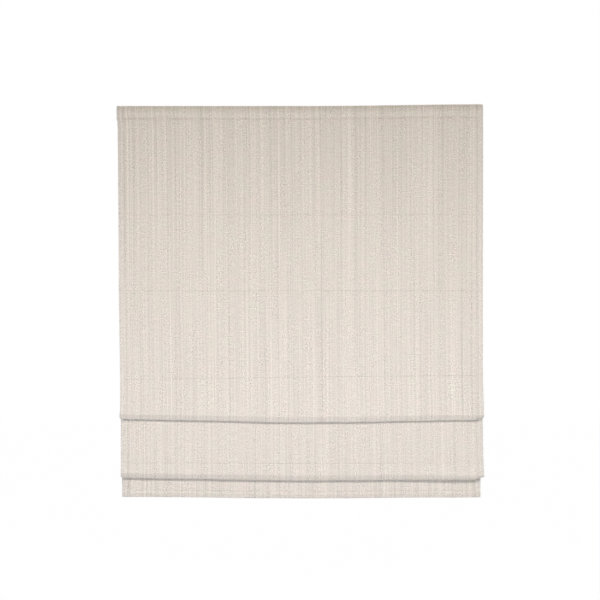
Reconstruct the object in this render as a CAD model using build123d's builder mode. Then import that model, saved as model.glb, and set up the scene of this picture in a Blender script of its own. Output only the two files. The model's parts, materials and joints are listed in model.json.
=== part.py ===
from build123d import *
import os
from math import acos, cos, radians, sin, tan

os.makedirs("parts", exist_ok=True)

# A spring-lift roman blind, hung on two wall brackets and drawn part of the way up.
# Lengths are in mm. The wall is the plane y = 0, the room is on the -Y side, +Z is up,
# and the origin lies on the wall at the middle of the four bracket screws.

# Headrail channel, open at the top between two lips
rail_inset = 5.0
rail_depth = 54.0
rail_height = 34.0
rail_wall = 1.2
rail_lip = 6.0
rail_corner_radius = 1.5

# End caps that plug the headrail
cap_plate = 2.5
cap_plug_length = 14.0
cap_plug_wall = 1.6
cap_edge_chamfer = 0.8

# Wall brackets
bracket_spacing = 880.0
bracket_width = 36.0
bracket_plate = 2.0
bracket_arm = 1.5
bracket_tongue_width = 20.0
bracket_tongue_plate = 1.2
bracket_foot_length = 4.0
screw_hole_diameter = 5.0
screw_hole_spacing = 16.0
bracket_corner_radius = 4.0

# Touch tapes that hold the cloth to the headrail
tape_inset = 10.0
tape_height = 28.0
tape_thickness = 1.2
tape_corner_radius = 2.0

# Cloth, cut and hemmed
cloth_width = 1000.0
cloth_thickness = 0.9
cloth_above_rail = 3.0
side_hem_width = 16.0
side_hem_thickness = 0.8
top_hem_height = 34.0
top_hem_bulge = 2.7
top_hem_shoulder = 7.0
top_hem_radius = 2.0
bottom_hem_height = 19.0
bottom_hem_taper = 5.0

# Heights on the hanging cloth, measured down from its top edge
first_rod_drop = 298.0
second_rod_drop = 504.0
rod_pitch = 238.0
first_fold_below_rod = 119.5
first_crest_above_rod = 6.0
second_fold_reveal = 164.0
second_fold_length = 193.0
fifth_rod_above_fold = 45.0
bottom_reveal = 52.5

# Depths of the hanging cloth, front to back
first_rod_setback = 1.2
second_rod_setback = 7.7
third_rod_setback = 11.2
fold_bulge = 3.0
first_fold_depth = 16.5
first_crest_depth = 8.0
second_fold_depth = 14.5
second_crest_depth = 7.5
rod_bend_radius = 60.0
fold_round_share = 0.46

# Stiffening rods and the sleeves sewn round them
rod_diameter = 4.8
rod_inset = 16.0
sleeve_clearance = 0.35
sleeve_wall = 0.7
sleeve_seam_bite = 0.3

# Bottom bar in the bottom hem
bar_height = 14.5
bar_thickness = 3.2
bar_inset = 14.0
bar_cap_plate = 1.5
bar_clearance = 0.35

# Lift lines: a cord, three rings and an anchor each
line_spacing = 340.0
cord_diameter = 1.4
cord_bend_radius = 40.0
ring_radius = 3.6
ring_wire = 1.8
sewn_gap = 0.3
anchor_radius = 3.0
anchor_height = 8.0
anchor_neck_radius = 2.2
anchor_below_ring = 2.2

# Lift shaft and cord spools
shaft_side = 5.0
shaft_overhang = 22.0
shaft_corner_radius = 0.5
bore_clearance = 0.1
barrel_radius = 9.3
barrel_length = 32.0
flange_radius = 12.5
flange_plate = 1.5
journal_radius = 5.0
journal_length = 4.5
bearing_clearance = 0.06
running_gap = 0.5
wound_turns = 9

# Spool cradles that stand on the floor of the headrail
cradle_floor = 1.5
cradle_wall = 3.0
cradle_depth = 30.0
cradle_bearing_rim = 3.5
cradle_mouth_share = 0.82
cradle_horn = 7.0
eyelet_radius = 3.4
eyelet_bore = 2.0
eyelet_drop = 1.2
eyelet_hole_gap = 0.3

# Spring motor on the lift shaft
motor_place = -170.0
gear_teeth = 20
gear_module = 1.0
gear_face = 5.0
gear_addendum_share = 0.7
gear_dedendum_share = 1.15
gear_flank_angle = 20.0
gear_backlash = 0.34
drum_length = 26.0
power_barrel_radius = 6.0
storage_barrel_radius = 4.6
drum_flange_radius = 9.5
axle_radius = 2.0
axle_head_radius = 3.2
axle_head_length = 1.0
motor_plate = 2.0
motor_depth = 47.0
motor_height = 29.0
motor_corner_radius = 3.0
post_radius = 2.2
post_inset = 3.4
spring_thickness = 0.5
spring_side_gap = 1.0
power_coil = 2.0
storage_coil = 1.5

# Small allowances
overrun = 1.0
plug_gap = 0.1
slide_gap = 0.3

# Headrail and tapes follow the width of the cloth
rail_length = cloth_width - 2 * rail_inset
tape_length = cloth_width - 2 * tape_inset

# Planes of the headrail
rail_back_y = -bracket_plate
rail_front_y = rail_back_y - rail_depth
rail_mid_y = (rail_back_y + rail_front_y) / 2
rail_top_z = rail_height / 2
rail_floor_z = -rail_height / 2 + rail_wall

# Planes of the cloth: its face is the side that the room sees
cloth_top_z = rail_top_z + cloth_above_rail
hem_back_y = rail_front_y - 2 * tape_thickness
top_face_y = hem_back_y - 2 * cloth_thickness

first_rod_face_y = top_face_y + first_rod_setback
second_rod_face_y = top_face_y + second_rod_setback
third_rod_face_y = top_face_y + third_rod_setback
first_fold_front_y = third_rod_face_y - fold_bulge
first_fold_back_y = first_fold_front_y + first_fold_depth
first_crest_back_y = first_fold_back_y + first_crest_depth
second_fold_front_y = first_crest_back_y - fold_bulge
second_fold_back_y = second_fold_front_y + second_fold_depth
bottom_face_y = second_fold_back_y + second_crest_depth

third_rod_drop = second_rod_drop + rod_pitch
first_fold_drop = third_rod_drop + first_fold_below_rod
first_crest_drop = third_rod_drop - first_crest_above_rod
second_fold_drop = first_fold_drop + second_fold_reveal
second_crest_drop = second_fold_drop - second_fold_length
fifth_rod_drop = second_fold_drop - fifth_rod_above_fold
bottom_drop = second_fold_drop + bottom_reveal


def height(drop):
    return cloth_top_z - drop


def place(face_y, drop):
    return (face_y, height(drop))


# Centres of the six rods in their sleeves, as (y, z)
sleeve_bore = rod_diameter / 2 + sleeve_clearance
sleeve_radius = sleeve_bore + sleeve_wall
sleeve_reach = cloth_thickness + sleeve_radius - sleeve_seam_bite

fifth_rod_share = (fifth_rod_drop - first_crest_drop) / (second_fold_drop - first_crest_drop)
fifth_rod_face_y = first_crest_back_y - fold_bulge * fifth_rod_share
first_crest_y = (first_fold_back_y + first_crest_back_y) / 2
second_crest_y = (second_fold_back_y + bottom_face_y) / 2

rod_centres = [
    (first_rod_face_y + sleeve_reach, height(first_rod_drop)),
    (second_rod_face_y + sleeve_reach, height(second_rod_drop)),
    (third_rod_face_y + sleeve_reach, height(third_rod_drop)),
    (first_crest_y, height(first_crest_drop) + sleeve_reach),
    (fifth_rod_face_y + sleeve_reach, height(fifth_rod_drop)),
    (second_crest_y, height(second_crest_drop) + sleeve_reach),
]

# Lift lines: rings hang on the second, fourth and sixth rods
line_places = [-line_spacing, 0, line_spacing]
line_names = ["left", "centre", "right"]
ring_outer = ring_radius + ring_wire / 2
ring_reach = sleeve_radius + sewn_gap + ring_outer
second_ring_y = rod_centres[1][0] + ring_reach
fourth_ring_y = rod_centres[3][0] + ring_reach
sixth_ring_y = rod_centres[5][0] - ring_reach

gear_pitch_radius = gear_teeth * gear_module / 2
shaft_y = rail_mid_y - gear_pitch_radius
storage_y = rail_mid_y + gear_pitch_radius
cord_exit_y = shaft_y - barrel_radius - slide_gap - cord_diameter / 2
anchor_top_z = rod_centres[5][1] - anchor_below_ring
anchor_bottom_z = anchor_top_z - anchor_height
cord_route = [
    (cord_exit_y, 0),
    (second_ring_y, rod_centres[1][1]),
    (fourth_ring_y, rod_centres[3][1]),
    (sixth_ring_y, rod_centres[5][1]),
    (sixth_ring_y, anchor_bottom_z),
]


def cord_y(z):
    run_share = (cord_route[0][1] - z) / (cord_route[0][1] - cord_route[1][1])
    return cord_route[0][0] + (cord_route[1][0] - cord_route[0][0]) * run_share


eyelet_y = cord_y(-rail_top_z)


def across(x):
    """The upright plane that crosses the blind at x: its own axes are Y and Z."""
    return Plane.YZ.offset(x)


def save(piece, label):
    piece.part.label = label
    export_step(piece.part, f"parts/{label}.step")


# Headrail: a channel with a lip along each top edge and a hole under each cord spool
with BuildPart() as headrail:
    with BuildSketch(across(-rail_length / 2)):
        with Locations((rail_mid_y, 0)):
            RectangleRounded(rail_depth, rail_height, rail_corner_radius)
            Rectangle(rail_depth - 2 * rail_wall, rail_height - 2 * rail_wall, mode=Mode.SUBTRACT)
        with Locations((rail_mid_y, rail_top_z - rail_wall / 2)):
            Rectangle(rail_depth - 2 * rail_lip, rail_wall + overrun, mode=Mode.SUBTRACT)
    extrude(amount=rail_length)
    with BuildSketch(Plane.XY.offset(-rail_top_z - overrun)):
        with Locations(*[(x, eyelet_y) for x in line_places]):
            Circle(eyelet_radius + eyelet_hole_gap)
    extrude(amount=rail_wall + 2 * overrun, mode=Mode.SUBTRACT)
save(headrail, "headrail")


def end_cap(side):
    """A plate over the end of the headrail, with a hollow plug that stands inside it."""
    seat = side * rail_length / 2
    plug_depth = rail_depth - 2 * rail_wall - 2 * plug_gap
    plug_height = rail_height - 2 * rail_wall - 2 * plug_gap
    hollow_depth = plug_depth - 2 * cap_plug_wall
    hollow_height = plug_height - 2 * cap_plug_wall
    with BuildPart() as cap:
        with BuildSketch(across(seat)):
            with Locations((rail_mid_y, 0)):
                RectangleRounded(rail_depth, rail_height, rail_corner_radius)
        extrude(amount=side * cap_plate)
        outer_face = cap.faces().sort_by(Axis.X)[-1 if side > 0 else 0]
        chamfer(outer_face.edges(), cap_edge_chamfer)
        with BuildSketch(across(seat)):
            with Locations((rail_mid_y, 0)):
                Rectangle(plug_depth, plug_height)
                Rectangle(hollow_depth, hollow_height, mode=Mode.SUBTRACT)
        extrude(amount=-side * cap_plug_length)
    return cap


save(end_cap(-1), "left_end_cap")
save(end_cap(1), "right_end_cap")


def wall_bracket(x):
    """An angle screwed to the wall, with two tongues that grip the headrail's lips from inside."""
    arm_front_y = rail_front_y + rail_wall
    lip_under_z = rail_top_z - rail_wall - slide_gap
    front_tongue_y = rail_front_y + rail_lip + slide_gap
    back_tongue_y = rail_back_y - rail_lip - slide_gap
    with BuildPart() as bracket:
        with BuildSketch(Plane.XZ) as plate:
            with Locations((x, bracket_arm / 2)):
                Rectangle(bracket_width, rail_height + bracket_arm)
            fillet(plate.vertices().group_by(Axis.Y)[0], bracket_corner_radius)
        extrude(amount=bracket_plate)
        with BuildSketch(Plane.XY.offset(rail_top_z)) as arm:
            with Locations((x, arm_front_y / 2)):
                Rectangle(bracket_width, -arm_front_y)
            fillet(arm.vertices().group_by(Axis.Y)[0], bracket_corner_radius)
        extrude(amount=bracket_arm)
        bend = bracket.edges().filter_by(Axis.X).group_by(Axis.Z)[-1].sort_by(Axis.Y)[-1]
        fillet(bend, bracket_arm)
        with BuildSketch(across(x - bracket_tongue_width / 2)):
            with Locations(
                (front_tongue_y + bracket_tongue_plate / 2, rail_top_z),
                (back_tongue_y - bracket_tongue_plate / 2, rail_top_z),
            ):
                leg_height = rail_top_z - lip_under_z + bracket_tongue_plate
                Rectangle(bracket_tongue_plate, leg_height, align=(Align.CENTER, Align.MAX))
            foot_z = lip_under_z - bracket_tongue_plate / 2
            with Locations((front_tongue_y, foot_z)):
                Rectangle(bracket_foot_length, bracket_tongue_plate, align=(Align.MAX, Align.CENTER))
            with Locations((back_tongue_y, foot_z)):
                Rectangle(bracket_foot_length, bracket_tongue_plate, align=(Align.MIN, Align.CENTER))
        extrude(amount=bracket_tongue_width)
        with BuildSketch(Plane.XZ.offset(-overrun)):
            with Locations((x, screw_hole_spacing / 2), (x, -screw_hole_spacing / 2)):
                Circle(screw_hole_diameter / 2)
        extrude(amount=bracket_plate + 2 * overrun, mode=Mode.SUBTRACT)
    return bracket


save(wall_bracket(-bracket_spacing / 2), "wall_bracket_left")
save(wall_bracket(bracket_spacing / 2), "wall_bracket_right")


def touch_tape(back_y):
    """One strip of a touch tape, flat on the front of the headrail."""
    with BuildPart() as tape:
        with BuildSketch(Plane.XZ.offset(-back_y)):
            RectangleRounded(tape_length, tape_height, tape_corner_radius)
        extrude(amount=tape_thickness)
    return tape


save(touch_tape(rail_front_y), "hook_tape")
save(touch_tape(rail_front_y - tape_thickness), "loop_tape")

# Cloth: one sheet from the top hem down through two folds to the bottom hem
first_fold_round = first_fold_depth * fold_round_share
first_crest_round = first_crest_depth * fold_round_share
second_fold_round = second_fold_depth * fold_round_share
second_crest_round = second_crest_depth * fold_round_share
face_points = [
    place(top_face_y, top_hem_height - overrun),
    place(first_rod_face_y, first_rod_drop),
    place(second_rod_face_y, second_rod_drop),
    place(third_rod_face_y, third_rod_drop),
    place(first_fold_front_y, first_fold_drop),
    place(first_fold_back_y, first_fold_drop),
    place(first_fold_back_y, first_crest_drop),
    place(first_crest_back_y, first_crest_drop),
    place(second_fold_front_y, second_fold_drop),
    place(second_fold_back_y, second_fold_drop),
    place(second_fold_back_y, second_crest_drop),
    place(bottom_face_y, second_crest_drop),
    place(bottom_face_y, bottom_drop - bottom_hem_height + overrun),
]
bend_radii = [rod_bend_radius] * 3
bend_radii += [first_fold_round] * 2 + [first_crest_round] * 2
bend_radii += [second_fold_round] * 2 + [second_crest_round] * 2

pocket_depth = bar_thickness + 2 * bar_clearance
pocket_height = bar_height + 2 * bar_clearance
bottom_hem_back_y = bottom_face_y + pocket_depth + 2 * cloth_thickness


def cloth_section(thickness):
    """The sheet in section: its face line, thickened towards the back of the cloth."""
    sections = []
    for side in (Side.LEFT, Side.RIGHT):
        with BuildSketch() as section:
            with BuildLine():
                FilletPolyline(*face_points, radius=bend_radii)
                offset(amount=thickness, side=side)
            make_face()
        sections.append(section.sketch)
    return max(sections, key=lambda sketch: sketch.bounding_box().min.X)


def top_hem_outline():
    """The rolled top hem in section, from its stitch line up over the top edge."""
    front_y = top_face_y - top_hem_bulge
    with BuildSketch() as outline:
        with BuildLine():
            Polyline(
                place(hem_back_y, top_hem_height),
                place(hem_back_y, 0),
                place(front_y, 0),
                place(front_y, top_hem_shoulder),
                place(top_face_y, top_hem_height),
                close=True,
            )
        make_face()
        upper = outline.vertices().group_by(Axis.Y)[-1]
        fillet(upper, top_hem_radius)
    return outline.sketch


def bottom_hem_outline():
    """The bottom hem in section, from its stitch line down round the bar."""
    stitch = height(bottom_drop - bottom_hem_height)
    pocket_top = stitch - bottom_hem_taper
    with BuildSketch() as outline:
        with BuildLine():
            Polyline(
                (bottom_face_y, stitch),
                (bottom_face_y, height(bottom_drop)),
                (bottom_hem_back_y, height(bottom_drop)),
                (bottom_hem_back_y, pocket_top),
                (bottom_face_y + 2 * cloth_thickness, stitch),
                close=True,
            )
        make_face()
        lower = outline.vertices().group_by(Axis.Y)[0]
        fillet(lower, cloth_thickness * 2)
    return outline.sketch


bar_centre_y = bottom_face_y + cloth_thickness + pocket_depth / 2
bar_centre_z = height(bottom_drop) + cloth_thickness + pocket_height / 2
sheet_section = cloth_section(cloth_thickness)
hem_section = cloth_section(cloth_thickness + side_hem_thickness)
with BuildPart() as fabric_panel:
    with BuildSketch(across(-cloth_width / 2)):
        add(sheet_section)
        add(top_hem_outline())
        add(bottom_hem_outline())
        with Locations((bar_centre_y, bar_centre_z)):
            RectangleRounded(pocket_depth, pocket_height, cloth_thickness, mode=Mode.SUBTRACT)
    extrude(amount=cloth_width)
    for hem_start in (-cloth_width / 2, cloth_width / 2 - side_hem_width):
        with BuildSketch(across(hem_start)):
            add(hem_section)
        extrude(amount=side_hem_width)
    with BuildSketch(across(-cloth_width / 2)):
        with Locations(*rod_centres):
            Circle(sleeve_radius)
    extrude(amount=cloth_width)
    with BuildSketch(across(-cloth_width / 2)):
        with Locations(*rod_centres):
            Circle(sleeve_bore)
    extrude(amount=cloth_width, mode=Mode.SUBTRACT)
save(fabric_panel, "fabric_panel")


def rod(centre):
    """A round stiffening rod inside its sleeve."""
    length = cloth_width - 2 * rod_inset
    with BuildPart() as piece:
        with BuildSketch(across(-length / 2)):
            with Locations(centre):
                Circle(rod_diameter / 2)
        extrude(amount=length)
    return piece


for number, centre in enumerate(rod_centres, start=1):
    save(rod(centre), f"rod_{number}")

# Bottom bar: a flat bar with round edges, and a cap on each end
bar_length = cloth_width - 2 * bar_inset - 2 * bar_cap_plate
with BuildPart() as bottom_bar:
    with BuildSketch(across(-bar_length / 2)):
        with Locations((bar_centre_y, bar_centre_z)):
            SlotOverall(bar_height, bar_thickness, rotation=90)
    extrude(amount=bar_length)
save(bottom_bar, "bottom_bar")

with BuildPart() as bottom_bar_caps:
    for side in (-1, 1):
        with BuildSketch(across(side * bar_length / 2)):
            with Locations((bar_centre_y, bar_centre_z)):
                SlotOverall(bar_height, bar_thickness, rotation=90)
        extrude(amount=side * bar_cap_plate)
save(bottom_bar_caps, "bottom_bar_caps")


def ring_row(ring_y, ring_z):
    """Three sewn rings, lying flat so that the cords drop through them."""
    with BuildPart() as rings:
        for x in line_places:
            with BuildSketch(Plane.XZ.offset(-ring_y)):
                with Locations((x + ring_radius, ring_z)):
                    Rectangle(ring_wire, ring_wire)
            revolve(axis=Axis((x, ring_y, ring_z), (0, 0, 1)))
    return rings


save(ring_row(second_ring_y, rod_centres[1][1]), "second_row_rings")
save(ring_row(fourth_ring_y, rod_centres[3][1]), "fourth_row_rings")
save(ring_row(sixth_ring_y, rod_centres[5][1]), "sixth_row_rings")

# Cord anchors: bored toggles under the lowest rings, where the cords end
with BuildPart() as cord_anchors:
    with Locations(*[(x, sixth_ring_y, (anchor_top_z + anchor_bottom_z) / 2) for x in line_places]):
        Cone(anchor_radius, anchor_neck_radius, anchor_height)
    with BuildSketch(Plane.XY.offset(anchor_bottom_z)):
        with Locations(*[(x, sixth_ring_y) for x in line_places]):
            Circle(cord_diameter / 2 + slide_gap)
    extrude(amount=anchor_height, mode=Mode.SUBTRACT)
save(cord_anchors, "cord_anchors")


def lift_cord(x):
    """A taut cord from its spool down through the rings to its anchor."""
    with BuildPart() as cord:
        with BuildLine(across(x)) as route:
            FilletPolyline(*cord_route[:-1], radius=cord_bend_radius)
            Line(cord_route[-2], cord_route[-1])
        with BuildSketch(Plane(origin=route.line @ 0, z_dir=route.line % 0)):
            Circle(cord_diameter / 2)
        sweep(path=route.wires()[0])
    return cord


for name, x in zip(line_names, line_places):
    save(lift_cord(x), f"lift_cord_{name}")

# Lift shaft: a square rod through the spools and the motor's power drum
shaft_length = 2 * (line_spacing + barrel_length / 2 + flange_plate + journal_length + shaft_overhang)
with BuildPart() as lift_shaft:
    with BuildSketch(across(-shaft_length / 2)):
        with Locations((shaft_y, 0)):
            RectangleRounded(shaft_side, shaft_side, shaft_corner_radius)
    extrude(amount=shaft_length)
save(lift_shaft, "lift_shaft")


def cord_spool(x):
    """A flanged barrel with a journal at each end, bored square for the shaft."""
    half_barrel = barrel_length / 2
    half_flanges = half_barrel + flange_plate
    half_spool = half_flanges + journal_length
    with BuildPart() as spool:
        for half_length, radius in (
            (half_spool, journal_radius),
            (half_barrel, barrel_radius),
        ):
            with BuildSketch(across(x - half_length)):
                with Locations((shaft_y, 0)):
                    Circle(radius)
            extrude(amount=2 * half_length)
        for flange_start in (x - half_flanges, x + half_barrel):
            with BuildSketch(across(flange_start)):
                with Locations((shaft_y, 0)):
                    Circle(flange_radius)
            extrude(amount=flange_plate)
        with BuildSketch(across(x - half_spool)):
            with Locations((shaft_y, 0)):
                Rectangle(shaft_side + 2 * bore_clearance, shaft_side + 2 * bore_clearance)
        extrude(amount=2 * half_spool, mode=Mode.SUBTRACT)
    return spool


with BuildPart() as cord_spools:
    for x in line_places:
        add(cord_spool(x).part)
save(cord_spools, "cord_spools")

# The turns of cord already wound on the spools, beside the place where each cord leaves
pack_bore = barrel_radius + slide_gap / 2
with BuildPart() as cord_windings:
    for x in line_places:
        with BuildSketch(across(x - cord_diameter / 2 - slide_gap)):
            with Locations((shaft_y, 0)):
                Circle(pack_bore + cord_diameter)
                Circle(pack_bore, mode=Mode.SUBTRACT)
        extrude(amount=-wound_turns * cord_diameter)
save(cord_windings, "cord_windings")


def spool_cradle(x):
    """A floor with an eyelet for the cord, and two walls whose open bearings hold the spool."""
    inside = barrel_length / 2 + flange_plate + running_gap
    bearing_radius = journal_radius + bearing_clearance
    rim_radius = bearing_radius + cradle_bearing_rim
    wall_foot_z = rail_floor_z + cradle_floor
    length = 2 * (inside + cradle_wall)
    cradle_front_y = rail_front_y + rail_wall + slide_gap
    with BuildPart() as cradle:
        with BuildSketch(Plane.XY.offset(rail_floor_z)):
            with Locations((x, cradle_front_y + cradle_depth / 2)):
                Rectangle(length, cradle_depth)
        extrude(amount=cradle_floor)
        for wall_start in (x - inside - cradle_wall, x + inside):
            with BuildSketch(across(wall_start)):
                with BuildLine():
                    Polyline(
                        (cradle_front_y, wall_foot_z),
                        (cradle_front_y + cradle_depth, wall_foot_z),
                        (shaft_y + rim_radius, 0),
                        (shaft_y + rim_radius, cradle_horn),
                        (shaft_y - rim_radius, cradle_horn),
                        (shaft_y - rim_radius, 0),
                        close=True,
                    )
                make_face()
                with Locations((shaft_y, 0)):
                    Circle(bearing_radius, mode=Mode.SUBTRACT)
                    Rectangle(
                        2 * bearing_radius * cradle_mouth_share,
                        2 * rim_radius,
                        align=(Align.CENTER, Align.MIN),
                        mode=Mode.SUBTRACT,
                    )
            extrude(amount=cradle_wall)
        with BuildSketch(Plane.XY.offset(-rail_top_z - eyelet_drop)):
            with Locations((x, eyelet_y)):
                Circle(eyelet_radius)
        extrude(amount=eyelet_drop + rail_wall + cradle_floor)
        with BuildSketch(Plane.XY.offset(-rail_top_z - eyelet_drop - overrun)):
            with Locations((x, eyelet_y)):
                Circle(eyelet_bore)
        extrude(amount=eyelet_drop + rail_wall + cradle_floor + 2 * overrun, mode=Mode.SUBTRACT)
    return cradle


with BuildPart() as spool_cradles:
    for x in line_places:
        add(spool_cradle(x).part)
save(spool_cradles, "spool_cradles")

# Spring motor: a power drum on the shaft, geared to a storage drum beside it
gear_tip = gear_pitch_radius + gear_module * gear_addendum_share
gear_root = gear_pitch_radius - gear_module * gear_dedendum_share
half_tooth = radians(90 / gear_teeth) * gear_pitch_radius - gear_backlash / 2
flank_slope = tan(radians(gear_flank_angle))
tip_half = half_tooth - (gear_tip - gear_pitch_radius) * flank_slope
root_half = half_tooth + (gear_pitch_radius - gear_root) * flank_slope

gear_start = motor_place - drum_length / 2 - gear_face
drum_start = motor_place - drum_length / 2
drum_end = motor_place + drum_length / 2
flange_end = drum_end + flange_plate
left_plate_x = gear_start - running_gap
right_plate_x = flange_end + running_gap


def toothed_drum(centre_y, barrel, tooth_turn):
    """A drum for the flat spring: gear, barrel and flange on one axis."""
    with BuildPart() as drum:
        with BuildSketch(across(gear_start)):
            with Locations((centre_y, 0)):
                Circle(gear_root)
                with PolarLocations(0, gear_teeth, start_angle=tooth_turn):
                    Polygon(
                        (gear_root - gear_module, -root_half),
                        (gear_root, -root_half),
                        (gear_tip, -tip_half),
                        (gear_tip, tip_half),
                        (gear_root, root_half),
                        (gear_root - gear_module, root_half),
                        align=None,
                    )
        extrude(amount=gear_face)
        with BuildSketch(across(drum_start)):
            with Locations((centre_y, 0)):
                Circle(barrel)
        extrude(amount=drum_length)
        with BuildSketch(across(drum_end)):
            with Locations((centre_y, 0)):
                Circle(drum_flange_radius)
        extrude(amount=flange_plate)
    return drum


power = toothed_drum(shaft_y, power_barrel_radius, 0)
with BuildPart() as power_drum:
    add(power.part)
    with BuildSketch(across(left_plate_x - motor_plate)):
        with Locations((shaft_y, 0)):
            Circle(journal_radius)
    extrude(amount=gear_start - left_plate_x + motor_plate)
    with BuildSketch(across(flange_end)):
        with Locations((shaft_y, 0)):
            Circle(journal_radius)
    extrude(amount=right_plate_x + motor_plate - flange_end)
    with BuildSketch(across(left_plate_x - motor_plate)):
        with Locations((shaft_y, 0)):
            Rectangle(shaft_side + 2 * bore_clearance, shaft_side + 2 * bore_clearance)
    extrude(amount=right_plate_x - left_plate_x + 2 * motor_plate, mode=Mode.SUBTRACT)
save(power_drum, "power_drum")

storage = toothed_drum(storage_y, storage_barrel_radius, 180 / gear_teeth)
with BuildPart() as storage_drum:
    add(storage.part)
    with BuildSketch(across(gear_start)):
        with Locations((storage_y, 0)):
            Circle(axle_radius + bearing_clearance)
    extrude(amount=flange_end - gear_start, mode=Mode.SUBTRACT)
save(storage_drum, "storage_drum")

with BuildPart() as storage_axle:
    with BuildSketch(across(left_plate_x - motor_plate)):
        with Locations((storage_y, 0)):
            Circle(axle_radius)
    extrude(amount=right_plate_x - left_plate_x + 2 * motor_plate)
    with BuildSketch(across(left_plate_x - motor_plate)):
        with Locations((storage_y, 0)):
            Circle(axle_head_radius)
    extrude(amount=-axle_head_length)
save(storage_axle, "storage_axle")

motor_foot_z = rail_floor_z
motor_mid_z = motor_foot_z + motor_height / 2
post_reach_y = motor_depth / 2 - post_inset
post_reach_z = motor_height / 2 - post_inset
post_places = [
    (rail_mid_y + y_side * post_reach_y, motor_mid_z + z_side * post_reach_z)
    for y_side in (-1, 1)
    for z_side in (-1, 1)
]


def motor_side_plate(start, posts):
    """A side plate of the spring motor, with a bearing for the power drum and a seat for the axle."""
    with BuildPart() as plate:
        with BuildSketch(across(start)):
            with Locations((rail_mid_y, motor_mid_z)):
                RectangleRounded(motor_depth, motor_height, motor_corner_radius)
            with Locations((shaft_y, 0)):
                Circle(journal_radius + bearing_clearance, mode=Mode.SUBTRACT)
            with Locations((storage_y, 0)):
                Circle(axle_radius + bearing_clearance, mode=Mode.SUBTRACT)
        extrude(amount=motor_plate)
        if posts:
            with BuildSketch(across(start + motor_plate)):
                with Locations(*post_places):
                    Circle(post_radius)
            extrude(amount=right_plate_x - left_plate_x)
    return plate


save(motor_side_plate(left_plate_x - motor_plate, True), "motor_frame")
save(motor_side_plate(right_plate_x, False), "motor_side_plate")

# Flat spring: a coil round each drum, and the strip that crosses from one to the other
power_coil_bore = power_barrel_radius + slide_gap
storage_coil_bore = storage_barrel_radius + slide_gap
strip_power_radius = power_coil_bore + power_coil - spring_thickness / 2
strip_storage_radius = storage_coil_bore + storage_coil - spring_thickness / 2
cross_angle = acos((strip_power_radius + strip_storage_radius) / (storage_y - shaft_y))
strip_start = (
    shaft_y + strip_power_radius * cos(cross_angle),
    strip_power_radius * sin(cross_angle),
)
strip_end = (
    storage_y - strip_storage_radius * cos(cross_angle),
    -strip_storage_radius * sin(cross_angle),
)
with BuildPart() as motor_spring:
    with BuildSketch(across(drum_start + spring_side_gap)):
        with BuildLine():
            Line(strip_start, strip_end)
        trace(line_width=spring_thickness)
        with Locations((shaft_y, 0)):
            Circle(power_coil_bore + power_coil)
            Circle(power_coil_bore, mode=Mode.SUBTRACT)
        with Locations((storage_y, 0)):
            Circle(storage_coil_bore + storage_coil)
            Circle(storage_coil_bore, mode=Mode.SUBTRACT)
    extrude(amount=drum_length - 2 * spring_side_gap)
save(motor_spring, "motor_spring")
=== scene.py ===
import json
import math

import bpy
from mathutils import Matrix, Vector, noise
from mathutils.geometry import intersect_point_line


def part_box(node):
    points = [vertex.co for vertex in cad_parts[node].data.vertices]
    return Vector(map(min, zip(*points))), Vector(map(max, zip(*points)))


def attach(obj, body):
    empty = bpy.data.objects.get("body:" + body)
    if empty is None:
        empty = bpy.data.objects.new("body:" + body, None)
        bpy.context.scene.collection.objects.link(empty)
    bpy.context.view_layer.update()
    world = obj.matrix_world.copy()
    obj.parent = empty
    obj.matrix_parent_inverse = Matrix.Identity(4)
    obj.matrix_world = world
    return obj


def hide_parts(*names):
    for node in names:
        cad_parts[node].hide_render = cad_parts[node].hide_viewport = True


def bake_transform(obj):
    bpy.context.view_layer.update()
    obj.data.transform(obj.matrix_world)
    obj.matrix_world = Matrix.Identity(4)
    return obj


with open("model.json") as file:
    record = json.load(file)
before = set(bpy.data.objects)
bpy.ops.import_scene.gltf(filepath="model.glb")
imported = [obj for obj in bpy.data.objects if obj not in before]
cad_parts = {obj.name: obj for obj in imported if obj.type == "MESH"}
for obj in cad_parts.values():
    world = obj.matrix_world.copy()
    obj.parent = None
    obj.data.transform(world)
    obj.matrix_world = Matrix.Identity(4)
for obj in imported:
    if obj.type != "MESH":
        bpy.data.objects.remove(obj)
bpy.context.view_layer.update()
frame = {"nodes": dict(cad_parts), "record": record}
nodes = frame["nodes"]
print("frame loaded:", len(nodes), "nodes")


def middle(node):
    low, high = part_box(node)
    return (Vector(low) + Vector(high)) / 2


def deselectAll():
    bpy.ops.object.select_all(action="DESELECT")


def takeNew(name):  # the object that an operator has just added
    piece = bpy.context.active_object
    piece.name = name
    piece.data.name = name
    return piece


def settle(piece):  # bakes place, turn and scale into the mesh
    deselectAll()
    piece.select_set(True)
    bpy.context.view_layer.objects.active = piece
    bpy.ops.object.transform_apply(location=True, rotation=True, scale=True)


def addModifier(piece, kind, **settings):  # adds a modifier and applies it at once
    modifier = piece.modifiers.new(kind.title(), kind)
    for key, value in settings.items():
        setattr(modifier, key, value)
    deselectAll()
    piece.select_set(True)
    bpy.context.view_layer.objects.active = piece
    bpy.ops.object.modifier_apply(modifier=modifier.name)


def joinPieces(name, pieces):
    deselectAll()
    for piece in pieces:
        piece.select_set(True)
    bpy.context.view_layer.objects.active = pieces[0]
    if len(pieces) > 1:
        bpy.ops.object.join()
    settle(pieces[0])
    return takeNew(name)


def dress(piece, material, smooth=True):
    piece.data.materials.clear()
    piece.data.materials.append(material)
    if smooth:
        deselectAll()
        piece.select_set(True)
        bpy.context.view_layer.objects.active = piece
        bpy.ops.object.shade_smooth_by_angle(angle=math.radians(40))


# Materials

def hexColour(code):  # sRGB hex to linear colour
    channels = [int(code[i:i + 2], 16) / 255 for i in (1, 3, 5)]
    linear = [c / 12.92 if c <= 0.04045 else ((c + 0.055) / 1.055) ** 2.4 for c in channels]
    return (*linear, 1.0)


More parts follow.
